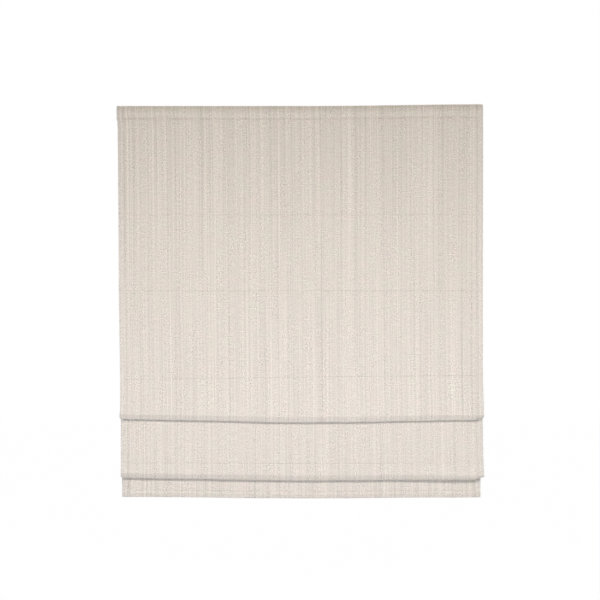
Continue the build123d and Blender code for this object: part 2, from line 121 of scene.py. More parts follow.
def addNode(tree, kind, settings=None, links=None):
    node = tree.nodes.new(kind)
    for key, value in (settings or {}).items():
        if isinstance(key, int) or key in node.inputs:
            node.inputs[key].default_value = value
        else:
            setattr(node, key, value)
    for socket, source in (links or {}).items():
        tree.links.new(source, node.inputs[socket])
    return node


def newMaterial(name):
    material = bpy.data.materials.new(name)
    material.use_nodes = True
    tree = material.node_tree
    return material, tree, tree.nodes["Principled BSDF"]


millimetre = 0.001


# Slub linen-look cloth, plain woven from uneven yarn: matt, with long pale and dark streaks down the
# warp, a finer unevenness along the weft, a slight drift of colour between pink and green, and painted
# shade over the doubled side hems
linenLook = {
    "pinkish": "#E4D9D2",
    "greenish": "#E0DCD1",
    "hemShadeTint": "#E0DAD2",                    # painted shade: the doubled cloth at the side hems is coloured a little cooler
    "hemShadeFrom": 0.4825,                       # m from the middle, where that painted shade begins
    "hemShadeFull": 0.4895,
    "streakWidths": (2.4, 5.0, 17.0),        # mm across the warp
    "streakLengths": (700.0, 1600.0, 2600.0),  # mm along the warp
    "streakShares": (0.085, 0.06, 0.03),
    "weftWidth": 3.2,
    "weftLength": 30.0,
    "weftShare": 0.05,
    "speckSize": 3.3,                        # drawn coarser than the real thread crossings, so that it shows
    "speckShare": 0.29,
    "patchWidth": 22.0,
    "patchLength": 130.0,
    "threadSpacing": 0.9,
    "driftSize": 36.0,
}


def slubLinen():
    material, tree, shader = newMaterial("slubLinenPlainWeave")
    uv = addNode(tree, "ShaderNodeUVMap", {"uv_map": "flatCloth"})

    def yarnNoise(number, width, length, low, high):  # noise stretched to a width and a length in mm
        stretch = (1 / (width * millimetre), 1 / (length * millimetre), 1)
        apart = (number * 7.3, number * 3.1, 0)  # so that no two layers show the same pattern
        mapping = addNode(tree, "ShaderNodeMapping", {"Location": apart, "Scale": stretch},
                          {"Vector": uv.outputs[0]})
        threads = addNode(tree, "ShaderNodeTexNoise", {"noise_dimensions": "2D", "Scale": 1.0, "Detail": 1.5,
                          "Roughness": 0.55}, {"Vector": mapping.outputs[0]})
        return addNode(tree, "ShaderNodeMapRange", {"From Min": 0.25, "From Max": 0.75, "To Min": low,
                       "To Max": high, "clamp": False}, {"Value": threads.outputs[0]})

    speckShare = linenLook["speckShare"]
    specks = yarnNoise(1, linenLook["speckSize"], linenLook["speckSize"], -speckShare, speckShare)
    patches = yarnNoise(2, linenLook["patchWidth"], linenLook["patchLength"], 0.2, 1.0)
    brightness = addNode(tree, "ShaderNodeMath", {"operation": "MULTIPLY_ADD", 2: 1.0},
                         {0: specks.outputs[0], 1: patches.outputs[0]})
    layers = list(zip(linenLook["streakWidths"], linenLook["streakLengths"], linenLook["streakShares"]))
    layers.append((linenLook["weftLength"], linenLook["weftWidth"], linenLook["weftShare"]))
    for number, (width, length, share) in enumerate(layers, start=3):
        swing = yarnNoise(number, width, length, -share, share)
        brightness = addNode(tree, "ShaderNodeMath", {"operation": "ADD"},
                             {0: brightness.outputs[0], 1: swing.outputs[0]})
    driftScale = 1 / (linenLook["driftSize"] * millimetre)
    drift = addNode(tree, "ShaderNodeTexNoise",
                    {"noise_dimensions": "2D", "Scale": driftScale, "Detail": 1.0},
                    {"Vector": uv.outputs[0]})
    tint = addNode(tree, "ShaderNodeMix", {"data_type": "RGBA", 6: hexColour(linenLook["pinkish"]),
                   7: hexColour(linenLook["greenish"])}, {0: drift.outputs[0]})
    parts = addNode(tree, "ShaderNodeSeparateXYZ", {}, {0: uv.outputs[0]})
    # painted shade: towards the side edges the colour turns to the cooler tint of the doubled hems
    aside = addNode(tree, "ShaderNodeMath", {"operation": "ABSOLUTE"}, {0: parts.outputs[0]})
    inHemShade = addNode(tree, "ShaderNodeMapRange",
                    {"From Min": linenLook["hemShadeFrom"], "From Max": linenLook["hemShadeFull"]},
                    {"Value": aside.outputs[0]})
    tint = addNode(tree, "ShaderNodeMix", {"data_type": "RGBA", 7: hexColour(linenLook["hemShadeTint"])},
                   {0: inHemShade.outputs[0], 6: tint.outputs[2]})
    yarn = addNode(tree, "ShaderNodeMix", {"data_type": "RGBA", "blend_type": "MULTIPLY", 0: 1.0},
                   {6: tint.outputs[2], 7: brightness.outputs[0]})
    waves = []
    for axis in (0, 1):
        turn = addNode(tree, "ShaderNodeMath", {"operation": "MULTIPLY",
                       1: math.pi / (linenLook["threadSpacing"] * millimetre)}, {0: parts.outputs[axis]})
        waves.append(addNode(tree, "ShaderNodeMath", {"operation": "SINE"}, {0: turn.outputs[0]}))
    weave = addNode(tree, "ShaderNodeMath", {"operation": "MULTIPLY"},
                    {0: waves[0].outputs[0], 1: waves[1].outputs[0]})
    relief = addNode(tree, "ShaderNodeMath", {"operation": "MULTIPLY_ADD", 1: 0.35},
                     {0: weave.outputs[0], 2: brightness.outputs[0]})
    bump = addNode(tree, "ShaderNodeBump", {"Strength": 0.5, "Distance": 0.25 * millimetre},
                   {"Height": relief.outputs[0]})
    tree.links.new(yarn.outputs[2], shader.inputs["Base Color"])
    tree.links.new(bump.outputs[0], shader.inputs["Normal"])
    shader.inputs["Roughness"].default_value = 0.92
    shader.inputs["Specular IOR Level"].default_value = 0.2
    shader.inputs["Sheen Weight"].default_value = 0.12
    shader.inputs["Sheen Roughness"].default_value = 0.5
    return material


# A finish with grain: its colour and roughness drift by a noise of the grain's size, with a fine bump
def grainyFinish(name, colour, roughness, grain, depth, drift=0.06, metallic=0.0, stretch=(1, 1, 1)):
    material, tree, shader = newMaterial(name)
    place = addNode(tree, "ShaderNodeTexCoord")
    mapping = addNode(tree, "ShaderNodeMapping", {"Scale": stretch}, {"Vector": place.outputs["Object"]})
    grit = addNode(tree, "ShaderNodeTexNoise",
                   {"Scale": 1 / (grain * millimetre), "Detail": 3.0, "Roughness": 0.6},
                   {"Vector": mapping.outputs[0]})
    cloud = addNode(tree, "ShaderNodeTexNoise", {"Scale": 1 / (40 * millimetre), "Detail": 2.0},
                    {"Vector": place.outputs["Object"]})
    both = addNode(tree, "ShaderNodeMath", {"operation": "ADD"}, {0: grit.outputs[0], 1: cloud.outputs[0]})
    shade = addNode(tree, "ShaderNodeMapRange", {"From Min": 0.6, "From Max": 1.4, "To Min": 1 - drift,
                    "To Max": 1 + drift}, {"Value": both.outputs[0]})
    paint = addNode(tree, "ShaderNodeMix", {"data_type": "RGBA", "blend_type": "MULTIPLY", 0: 1.0,
                    6: hexColour(colour)}, {7: shade.outputs[0]})
    gloss = addNode(tree, "ShaderNodeMapRange", {"From Min": 0.3, "From Max": 0.7, "To Min": roughness - 0.05,
                    "To Max": roughness + 0.05}, {"Value": grit.outputs[0]})
    bump = addNode(tree, "ShaderNodeBump", {"Strength": 0.4, "Distance": depth * millimetre},
                   {"Height": grit.outputs[0]})
    tree.links.new(paint.outputs[2], shader.inputs["Base Color"])
    tree.links.new(gloss.outputs[0], shader.inputs["Roughness"])
    tree.links.new(bump.outputs[0], shader.inputs["Normal"])
    shader.inputs["Metallic"].default_value = metallic
    return material


# Touch tape: white nylon strip with a pile of small loops, so it looks matt and pebbled; the colour darkens
# between the loops as painted shade
def touchTape():
    material, tree, shader = newMaterial("touchTapeNylonPile")
    place = addNode(tree, "ShaderNodeTexCoord")
    loops = addNode(tree, "ShaderNodeTexVoronoi", {"Scale": 1 / (0.8 * millimetre)},
                    {"Vector": place.outputs["Object"]})
    # painted shade: darker away from the middle of each loop
    shade = addNode(tree, "ShaderNodeMapRange", {"From Max": 0.7, "To Min": 1.0, "To Max": 0.78},
                    {"Value": loops.outputs[0]})
    nylon = addNode(tree, "ShaderNodeMix", {"data_type": "RGBA", "blend_type": "MULTIPLY", 0: 1.0,
                    6: hexColour("#EDECE8")}, {7: shade.outputs[0]})
    bump = addNode(tree, "ShaderNodeBump", {"Strength": 0.8, "Distance": 0.3 * millimetre},
                   {"Height": shade.outputs[0]})
    tree.links.new(nylon.outputs[2], shader.inputs["Base Color"])
    tree.links.new(bump.outputs[0], shader.inputs["Normal"])
    shader.inputs["Roughness"].default_value = 0.9
    return material


# Braided polyester lift cord: two sets of strands cross on the slant, which leaves a diamond relief; the
# colour is darkened between the strands as painted shade
def braidedCord():
    material, tree, shader = newMaterial("braidedPolyesterCord")
    place = addNode(tree, "ShaderNodeTexCoord")
    sets = []
    for lean in (1, -1):
        slant = addNode(tree, "ShaderNodeVectorMath",
                        {"operation": "DOT_PRODUCT", 1: (lean, lean * 0.6, 0.8)},
                        {0: place.outputs["Object"]})
        turn = addNode(tree, "ShaderNodeMath", {"operation": "MULTIPLY", 1: 2 * math.pi / (0.7 * millimetre)},
                       {0: slant.outputs["Value"]})
        sets.append(addNode(tree, "ShaderNodeMath", {"operation": "SINE"}, {0: turn.outputs[0]}))
    strands = addNode(tree, "ShaderNodeMath", {"operation": "MAXIMUM"},
                      {0: sets[0].outputs[0], 1: sets[1].outputs[0]})
    # painted shade: the colour darkens where the strands dip between each other
    shade = addNode(tree, "ShaderNodeMapRange",
                    {"From Min": -0.6, "From Max": 1.0, "To Min": 0.78, "To Max": 1.0},
                    {"Value": strands.outputs[0]})
    yarn = addNode(tree, "ShaderNodeMix", {"data_type": "RGBA", "blend_type": "MULTIPLY", 0: 1.0,
                   6: hexColour("#EBE7DE")}, {7: shade.outputs[0]})
    bump = addNode(tree, "ShaderNodeBump", {"Strength": 0.6, "Distance": 0.15 * millimetre},
                   {"Height": shade.outputs[0]})
    tree.links.new(yarn.outputs[2], shader.inputs["Base Color"])
    tree.links.new(bump.outputs[0], shader.inputs["Normal"])
    shader.inputs["Roughness"].default_value = 0.65
    return material


# Clear moulded plastic: see-through and glossy, with faint flow marks from the mould
def clearPlastic():
    material, tree, shader = newMaterial("clearMouldedPolycarbonate")
    place = addNode(tree, "ShaderNodeTexCoord")
    flow = addNode(tree, "ShaderNodeTexNoise", {"Scale": 1 / (1.5 * millimetre), "Detail": 2.0},
                   {"Vector": place.outputs["Object"]})
    gloss = addNode(tree, "ShaderNodeMapRange", {"To Min": 0.1, "To Max": 0.24}, {"Value": flow.outputs[0]})
    tint = addNode(tree, "ShaderNodeMix", {"data_type": "RGBA", 6: hexColour("#F4F6F5"),
                   7: hexColour("#E6EAEA")}, {0: flow.outputs[0]})
    tree.links.new(tint.outputs[2], shader.inputs["Base Color"])
    tree.links.new(gloss.outputs[0], shader.inputs["Roughness"])
    shader.inputs["Transmission Weight"].default_value = 0.75
    shader.inputs["IOR"].default_value = 1.58
    return material


linen = slubLinen()
# painted shade: the seam thread is coloured much darker than the cloth, so that the sewn lines show the dark
# shade of their grooves
seamShadeThread = grainyFinish("spunPolyesterThreadDarkAsSeamShade", "#AC9D8F", 0.8, 0.4, 0.05, drift=0.1)
brownThread = grainyFinish("brownTackingThread", "#927A64", 0.8, 0.4, 0.05, drift=0.1)
cordBraid = braidedCord()
finishes = {
    "rail": grainyFinish("powderCoatedAluminium", "#ECEBE7", 0.42, 0.5, 0.02, drift=0.03),
    "bracket": grainyFinish("paintedPressedSteel", "#E9E8E3", 0.35, 1.2, 0.02, drift=0.04),
    "shaft": grainyFinish("drawnBrightSteel", "#B9B9B6", 0.28, 0.3, 0.01, metallic=1.0, stretch=(0.04, 1, 1)),
    "spring": grainyFinish("bluedSpringSteel", "#6E737B", 0.3, 0.3, 0.01, metallic=1.0, stretch=(1, 1, 0.1)),
    "rod": grainyFinish("pultrudedGlassFibre", "#E4E1D4", 0.45, 0.5, 0.02, stretch=(0.02, 1, 1)),
    "white_plastic": grainyFinish("mouldedWhiteAbs", "#EDECE8", 0.5, 0.3, 0.03, drift=0.03),
    "grey_plastic": grainyFinish("mouldedGreyAcetal", "#A9ACAD", 0.45, 0.4, 0.03),
    "drum": grainyFinish("mouldedNaturalAcetal", "#E3E2DB", 0.4, 0.4, 0.02, drift=0.04),
    "gear": grainyFinish("dieCastZinc", "#9A9C9E", 0.42, 0.5, 0.03, metallic=0.9),
    "clear_plastic": clearPlastic(),
    "tape": touchTape(),
    "cord": cordBraid,
    "cloth": linen,
}
for part in frame["record"]["subparts"]:
    node = nodes[part["node"]]
    node.data.materials.clear()
    node.data.materials.append(finishes[part["material_slot"]])
print("materials ready:", len(finishes) + 2)


# The cloth: cut flat, hemmed down both sides, then hung from the headrail and folded
clothCut = {
    "thickness": 0.0006,
    "tapeGap": 0.0001,
    "sideHem": 0.016,
    "edgeRound": 0.00075,     # half the thickness of the doubled side edge
    "tightEdge": 0.0004,      # the same where hems lie on hems
    "topHem": 0.0365,
    "topSwell": 0.0052,       # how far the rolled top hem stands proud of the stiff hem inside it
    "topRise": 0.0046,        # the right end of the top edge sits this much higher
    "stitchFace": 0.0032,     # the hem in front of the tape at the top stitch
    "stitchAim": 0.0033,      # the place in front of the tape nearest to that stitch
    "barPocket": 0.019,
    "barSwell": 0.0032,
    "barSwellRise": 0.0125,
    "pocketTaper": 0.005,
    "rodReach": 0.00405,      # from the face of the cloth to the middle of a rod
    "firstFoldBelowRod": 0.1195,
    "secondFoldBelowRod": 0.045,
    "firstCrestHalf": 0.004,
    "secondCrestHalf": 0.00375,
    "foldBulge": 0.0066,
    "foldAim": 0.010,         # the folds' lowest places lie this far in front of the rods behind them
    "endLean": 0.007,         # the right end of the lower fold stands this much farther forward
    "endLeanFrom": 0.22,
    "endLeanRise": 0.012,
    "endLeanReach": 0.022,
    "ripple": 0.0009,
    "rippleSizes": ((0.16, 0.22), (0.05, 0.30)),
    "calmReach": 0.05,        # ripples die away this near to a sewn line or a crest
    "grooveDepth": 0.0010,
    "grooveWidth": 0.0011,
    "hemGroove": (1.8, 0.0014),
    "rowStep": 0.0075,
    "columnStep": 0.021,
}


# The soft loop at the bottom of a fold, by its corners: how far back, how far up, and the rounding
foldShape = {
    "shoulder": (0.0024, 0.044, 0.05),
    "chinRise": 0.0145,
    "chinRounds": (0.006, 0.012),      # of the upper and the lower fold
    "lowest": (0.46, -0.0026, 0.0034),  # how far back as a share of the fold's depth
    "heel": (0.003, 0.008, 0.008),
    "back": (0, 0.042, 0.05),
    "crestRounds": (0.0036, 0.0034),
}

# The rolled top hem, by its corners: how far behind its swell, how far below the top, and the rounding
topShape = {
    "tuck": 0.002,
    "rim": (0.0095, 0, 0.0010),
    "shoulder": (0.0036, 0.0085, 0.006),
    "front": (0, 0.0190, 0.012),
    "underside": (0.0014, 0.0065, 0.006),  # its height is above the stitch
    "stitchRound": 0.0022,
    "below": (0.0008, 0.016, 0.03),        # in front of the stitch and below it
}


def foldRoll(front, back, bottom, turn):  # the fold's corners as (y, z, rounding)
    shoulder = foldShape["shoulder"]
    lowest = foldShape["lowest"]
    heel = foldShape["heel"]
    behind = foldShape["back"]
    return [
        (front + shoulder[0], bottom + shoulder[1], shoulder[2]),
        (front, bottom + foldShape["chinRise"], turn),
        (front + lowest[0] * (back - front), bottom + lowest[1], lowest[2]),
        (back + heel[0], bottom + heel[1], heel[2]),
        (back + behind[0], bottom + behind[1], behind[2]),
    ]


def clothCorners():
    panelLow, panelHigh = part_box("fabric_panel")
    rods = [middle(f"rod_{n}") for n in range(1, 7)]
    reach = clothCut["rodReach"]
    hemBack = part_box("loop_tape")[0][1] - clothCut["tapeGap"]
    top = panelHigh[2]
    stitch = top - clothCut["topHem"]
    swell = panelLow[1] - clothCut["topSwell"]
    stitchFace = hemBack - clothCut["stitchFace"]
    crestOne = rods[3].z - reach
    crestTwo = rods[5].z - reach
    crestOneBack = rods[3].y + clothCut["firstCrestHalf"]
    foldOneBack = rods[3].y - clothCut["firstCrestHalf"]
    foldTwoBack = rods[5].y - clothCut["secondCrestHalf"]
    bottomFace = rods[5].y + clothCut["secondCrestHalf"]
    bottom = panelLow[2]
    pocketTop = bottom + clothCut["barPocket"]
    under = topShape["underside"]
    below = topShape["below"]
    corners = [
        (hemBack, stitch - topShape["tuck"], 0),
        (hemBack, top, topShape["rim"][2]),
    ]
    for key in ("rim", "shoulder", "front"):
        behind, down, turn = topShape[key]
        corners.append((swell + behind, top - down, turn))
    corners += [
        (swell + under[0], stitch + under[1], under[2]),
        (stitchFace, stitch, topShape["stitchRound"]),
        (stitchFace - below[0], stitch - below[1], below[2]),
    ]
    corners += [(rod.y - reach, rod.z, 0.06) for rod in rods[:3]]
    firstTurn, secondTurn = foldShape["chinRounds"]
    firstCrest, secondCrest = foldShape["crestRounds"]
    foldOneFront = rods[2].y - reach - clothCut["foldBulge"]
    foldTwoFront = crestOneBack - clothCut["foldBulge"]
    corners += foldRoll(foldOneFront, foldOneBack, rods[2].z - clothCut["firstFoldBelowRod"], firstTurn)
    corners += [(foldOneBack, crestOne, firstCrest), (crestOneBack, crestOne, firstCrest)]
    corners += foldRoll(foldTwoFront, foldTwoBack, rods[4].z - clothCut["secondFoldBelowRod"], secondTurn)
    corners += [(foldTwoBack, crestTwo, secondCrest), (bottomFace, crestTwo, secondCrest)]
    corners += [
        (bottomFace, pocketTop, 0.004),
        (bottomFace - clothCut["barSwell"], bottom + clothCut["barSwellRise"], 0.006),
        (bottomFace + 0.0003, bottom, 0.0017),
        (panelHigh[1], bottom, 0.0017),
        (panelHigh[1], pocketTop - clothCut["pocketTaper"], 0.004),
        (bottomFace + 2 * clothCut["thickness"] + clothCut["tapeGap"], pocketTop + 0.001, 0),
    ]
    return corners


def roundedLine(corners):  # the line through the corners, each rounded by an arc
    points = [Vector((0, corners[0][0], corners[0][1]))]
    for before, corner, after in zip(corners, corners[1:], corners[2:]):
        here = Vector((0, corner[0], corner[1]))
        toBefore = (Vector((0, before[0], before[1])) - here).normalized()
        toAfter = (Vector((0, after[0], after[1])) - here).normalized()
        halfAngle = toBefore.angle(toAfter) / 2
        if math.pi - 2 * halfAngle < math.radians(0.2):
            points.append(here)
            continue
        centre = here + (toBefore + toAfter).normalized() * corner[2] / math.sin(halfAngle)
        tangent = corner[2] / math.tan(halfAngle)
        start = (here + toBefore * tangent - centre).normalized()
        end = (here + toAfter * tangent - centre).normalized()
        steps = max(2, math.ceil((math.pi - 2 * halfAngle) / math.radians(8)))
        points += [centre + start.slerp(end, step / steps) * corner[2] for step in range(steps + 1)]
    points.append(Vector((0, corners[-1][0], corners[-1][1])))
    return points


def lineLengths(points):
    lengths = [0]
    for before, after in zip(points, points[1:]):
        lengths.append(lengths[-1] + (after - before).length)
    return lengths


clothLine = roundedLine(clothCorners())
clothLengths = lineLengths(clothLine)
clothLength = clothLengths[-1]


def onLine(along):  # the point of the cloth's line at a length along it
    along = min(max(along, 0), clothLength)
    for number in range(1, len(clothLine)):
        if along <= clothLengths[number]:
            before = clothLengths[number - 1]
            share = (along - before) / max(clothLengths[number] - before, 1e-9)
            return clothLine[number - 1].lerp(clothLine[number], share)
    return clothLine[-1]


def alongAt(target):  # the length along the line that comes nearest to a place
    best = None
    for number in range(1, len(clothLine)):
        near, share = intersect_point_line(target, clothLine[number - 1], clothLine[number])
        share = min(max(share, 0), 1)
        away = (clothLine[number - 1].lerp(clothLine[number], share) - target).length
        along = clothLengths[number - 1] + share * (clothLengths[number] - clothLengths[number - 1])
        if best is None or away < best[0]:
            best = (away, along)
    return best[1]


def outward(along):  # the way the cloth's face looks at a length along its line
    ahead = onLine(along + 0.0006) - onLine(along - 0.0006)
    return Vector((0, ahead.z, -ahead.y)).normalized()


def bell(value, width):
    return math.exp(-(value / width) ** 2)


rodFaces = [middle(f"rod_{n}") - Vector((0, clothCut["rodReach"], 0)) for n in range(1, 7)]
for face in rodFaces:
    face.x = 0
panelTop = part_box("fabric_panel")[1][2]
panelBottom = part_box("fabric_panel")[0][2]
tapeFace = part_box("loop_tape")[0][1]
pocketFace = middle("rod_6").y + clothCut["secondCrestHalf"]
topStitch = alongAt(Vector((0, tapeFace - clothCut["stitchAim"], panelTop - clothCut["topHem"])))
bottomStitch = alongAt(Vector((0, pocketFace, panelBottom + clothCut["barPocket"])))
seams = [topStitch] + [alongAt(rodFaces[n]) for n in (0, 1, 2, 4)] + [bottomStitch]
firstLow = rodFaces[2].z - clothCut["firstFoldBelowRod"]
secondLow = rodFaces[4].z - clothCut["secondFoldBelowRod"]
firstFold = alongAt(Vector((0, middle("rod_4").y - clothCut["foldAim"], firstLow)))
secondFold = alongAt(Vector((0, middle("rod_6").y - clothCut["foldAim"], secondLow)))
crests = [alongAt(middle(f"rod_{n}") - Vector((0, 0, clothCut["rodReach"]))) for n in (4, 6)]
print("cloth line:", round(clothLength, 3), "m, folds at", round(firstFold, 3), round(secondFold, 3))


# The sewn lines from the top hem down to the bar pocket: how strongly each is drawn in, how wide it is,
# the lip of cloth that swells above it, and how it is sewn a little below its rod and on the slant
seamLook = {
    "strength": (1.6, 2.0, 1.8, 1.7, 1.0, 1.0),
    "deepest": (2.5, 1.1, 1.1, 1.1, 1.5, 1.5),  # the rod lies behind, so the line can't go deeper
    "width": (1.7, 1.4, 1.3, 1.3, 1.0, 1.0),
    "lip": (0, 0.0010, 0.0008, 0.0008, 0, 0),
    "lipRise": 0.0036,
    "lipWidth": 0.0026,
    "shift": (0, 0, -0.0010, -0.0010, 0, 0),
    "slant": (0, 0, 0, 0.012, 0, 0),
    "wander": 0.0009,
    "reach": 0.03,
}


def clothRows():
    rows = set()
    for before, after in zip(clothLengths, clothLengths[1:]):
        steps = max(1, math.ceil((after - before) / clothCut["rowStep"]))
        rows.update(before + (after - before) * step / steps for step in range(steps))
    rows.add(clothLength)
    for seam in seams:
        rows.update(seam + offset * clothCut["grooveWidth"] for offset in (-3, -1.6, -0.8, 0, 0.8, 1.6, 3))
    for seam in seams[1:4]:
        rows.update(seam + offset * clothCut["grooveWidth"] for offset in range(-9, 10))
    kept = []
    for along in sorted(rows):
        if not kept or along - kept[-1] > 0.0004:
            kept.append(along)
    return kept


def clothColumns():  # (part, side, place): part is flat, round or flap
    half = 0.5 - clothCut["edgeRound"]
    hem = 0.5 - clothCut["sideHem"]
    inner = hem - 0.006
    steps = 2 * round(inner / clothCut["columnStep"])
    flat = [-inner + 2 * inner * step / steps for step in range(steps + 1)]
    for offset in (-0.0025, -0.0012, 0, 0.0012, 0.0025, 0.008):
        flat += [hem + offset, -hem - offset]
    flat += [half, -half]
    columns = [("flap", -1, place) for place in (0.015, 0.009, 0.003)]
    columns += [("round", -1, turn) for turn in (180, 135, 90, 45)]
    columns += [("flat", 0, place) for place in sorted(flat)]
    columns += [("round", 1, turn) for turn in (45, 90, 135, 180)]
    columns += [("flap", 1, place) for place in (0.003, 0.009, 0.015)]
    return columns


# How far each side edge stands in from the cut width, as (length along the line, left, right) in mm
edgeLean = [
    (0, 0.8, -1.0),
    (topStitch - 0.022, 1.6, -1.0),
    (topStitch, 3.0, -1.2),
    (topStitch + 0.03, 4.2, -1.8),
    (seams[1], 5.8, -2.0),
    (seams[2], 5.6, -2.7),
    (seams[3], 9.0, -3.6),
    (firstFold - 0.040, 9.8, -5.4),
    (firstFold - 0.012, 7.2, -5.4),
    (firstFold, 9.0, -3.5),
    (firstFold + 0.05, 9.0, -3.0),
    (crests[0], 8.0, -3.0),
    (crests[0] + 0.14, 8.0, -6.0),
    (secondFold - 0.030, 8.0, -8.0),
    (secondFold - 0.010, 7.5, -9.2),
    (secondFold, 8.0, -6.0),
    (secondFold + 0.05, 7.0, -3.0),
    (crests[1], 6.6, -2.8),
    (bottomStitch, 8.0, -2.8),
    (clothLength, 9.5, -2.8),
]


def edgeLeanIn(along):
    for before, after in zip(edgeLean, edgeLean[1:]):
        if along <= after[0]:
            share = (along - before[0]) / (after[0] - before[0])
            return [(before[k] + (after[k] - before[k]) * share) * millimetre for k in (1, 2)]
    return [value * millimetre for value in edgeLean[-1][1:]]


def ease(value):
    value = min(max(value, 0), 1)
    return value * value * (3 - 2 * value)


# How the two folds and the bottom edge hang off a straight line
hang = {
    "sag": (0.0072, 0.0048, 0.0038),   # how much lower each hangs in the middle
    "tilt": (0.0026, 0.0046, 0.0020),  # how much lower each hangs for a metre to the right
    "reach": (0.045, 0.045, 0.035),
    "rise": (0.55, 0.55, 0.3),         # the share of the sag by which its ends rise
    "uneven": 0.0009,
    "unevenLength": 0.13,
    "topFrom": 0.02,                   # the top edge rises to the right from here
    "topFade": 0.16,
    "cornerFrom": 0.484,               # the folds' corners turn up beyond this
    "cornerWidth": 0.014,
    "cornerLift": 0.006,
    "cornerReach": 0.010,
}


def clothLift(across, along):  # how far a place on the cloth stands above the straight line
    toRight = ease((across - hang["topFrom"]) / (0.5 - hang["topFrom"]))
    lift = clothCut["topRise"] * toRight * (1 - ease((along - topStitch) / hang["topFade"]))
    for number, fold in enumerate((firstFold, secondFold, bottomStitch + clothCut["barPocket"])):
        near = bell(along - fold, hang["reach"][number])
        sag = hang["sag"][number] * (hang["rise"][number] - ease(1 - abs(across) / 0.5))
        uneven = hang["uneven"] * noise.noise(Vector((across / hang["unevenLength"], number * 4.1, 0.4)))
        lift += (sag - hang["tilt"][number] * across + uneven) * near
    for fold in (firstFold, secondFold):
        corner = min(max(0, (abs(across) - hang["cornerFrom"]) / hang["cornerWidth"]), 1.3)
        lift += corner ** 1.6 * hang["cornerLift"] * bell(along - fold, hang["cornerReach"])
    return lift


def seamDepth(across, number):  # how deep a sewn line is drawn in, uneven along its length
    uneven = 0.75 + 0.9 * noise.noise(Vector((across / 0.03, number * 9.0, 3.3)))
    uneven *= seamLook["strength"][number]
    if number == 0:
        uneven += 1.2 * ease((-across - 0.2) / 0.25)
    return clothCut["grooveDepth"] * min(max(uneven, 0.15), seamLook["deepest"][number])


def seamRise(across, number):  # how far a sewn line stands above its straight place
    if not seamLook["lip"][number]:
        return 0
    wander = seamLook["wander"] * noise.noise(Vector((across / 0.11, number * 2.3, 6.1)))
    return seamLook["shift"][number] + seamLook["slant"][number] * across + wander


def clothPoint(along, column):
    part, side, place = column
    spot = onLine(along)
    out = outward(along)
    hemmed = along < topStitch + 0.012 or along > bottomStitch - 0.012
    edge = clothCut["tightEdge"] if hemmed else clothCut["edgeRound"]
    leftIn, rightIn = edgeLeanIn(along)
    left = -0.5 + leftIn
    right = 0.5 - rightIn
    depth = 0
    if part == "flat":
        flat = place
        half = 0.5 - clothCut["edgeRound"]
        across = left + edge + (right - left - 2 * edge) * (place + half) / (2 * half)
    elif part == "round":
        turn = math.radians(place)
        flat = side * (0.5 - clothCut["edgeRound"] * (1 - turn))
        across = (right if side > 0 else left) - side * edge * (1 - math.sin(turn))
        depth = edge * (1 - math.cos(turn))
    else:
        flat = side * (0.5 + clothCut["edgeRound"] * 2 + place)
        across = (right if side > 0 else left) - side * (edge + place)
        depth = 2 * edge
    if part == "flat":
        nearest = min(abs(along - seam) for seam in seams + crests)
        calm = ease(nearest / clothCut["calmReach"])
        if along > topStitch:
            wide, fine = clothCut["rippleSizes"]
            ripple = noise.noise(Vector((flat / wide[0], along / wide[1], 1.7)))
            ripple += 0.5 * noise.noise(Vector((flat / fine[0], along / fine[1], 5.2)))
            depth -= clothCut["ripple"] * ripple * calm
        for number, seam in enumerate(seams):
            if abs(along - seam) > seamLook["reach"]:
                continue
            below = along - seam + seamRise(flat, number)
            width = clothCut["grooveWidth"] * seamLook["width"][number]
            depth += seamDepth(flat, number) * bell(below, width)
            depth -= seamLook["lip"][number] * bell(below + seamLook["lipRise"], seamLook["lipWidth"])
        strength, width = clothCut["hemGroove"]
        depth += strength * clothCut["grooveDepth"] * bell(abs(flat) - 0.5 + clothCut["sideHem"], width)
    toEnd = ease((across - clothCut["endLeanFrom"]) / clothCut["endLeanFrom"])
    nearFold = bell(along - secondFold + clothCut["endLeanRise"], clothCut["endLeanReach"])
    lean = clothCut["endLean"] * toEnd * nearFold
    lift = Vector((0, -lean, clothLift(across, along)))
    return Vector((across, 0, 0)) + spot - out * depth + lift, (flat, along)


def makeCloth():
    rows = clothRows()
    columns = clothColumns()
    places = []
    flats = []
    for along in rows:
        for column in columns:
            place, flat = clothPoint(along, column)
            places.append(place)
            flats.append(flat)
    wide = len(columns)
    faces = []
    for row in range(len(rows) - 1):
        for column in range(wide - 1):
            first = row * wide + column
            faces.append((first, first + wide, first + wide + 1, first + 1))
    mesh = bpy.data.meshes.new("blindCloth")
    mesh.from_pydata(places, [], faces)
    flatMap = mesh.uv_layers.new(name="flatCloth")
    for loop in mesh.loops:
        flatMap.data[loop.index].uv = flats[loop.vertex_index]
    cloth = bpy.data.objects.new("blindCloth", mesh)
    bpy.context.collection.objects.link(cloth)
    addModifier(cloth, "SOLIDIFY", thickness=clothCut["thickness"], offset=-1)
    dress(cloth, linen)
    print("cloth:", len(rows), "rows,", wide, "columns,", len(cloth.data.polygons), "faces")
    return cloth


cloth = makeCloth()
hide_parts("fabric_panel")
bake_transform(cloth)


# Rod sleeves: strips of the same cloth sewn round the rods behind the panel
sleeveCut = {
    "outside": 0.00335,
    "wall": 0.0005,
    "endInset": 0.014,
    "cuts": 70,
    "slack": 0.00025,
    "wrinkleLength": 0.018,
    "wrapRadius": 0.0033,
}
rodBodies = ["upper_rod", "ring_rod", "lift_stack", "lift_stack", "lift_stack", "lift_stack"]


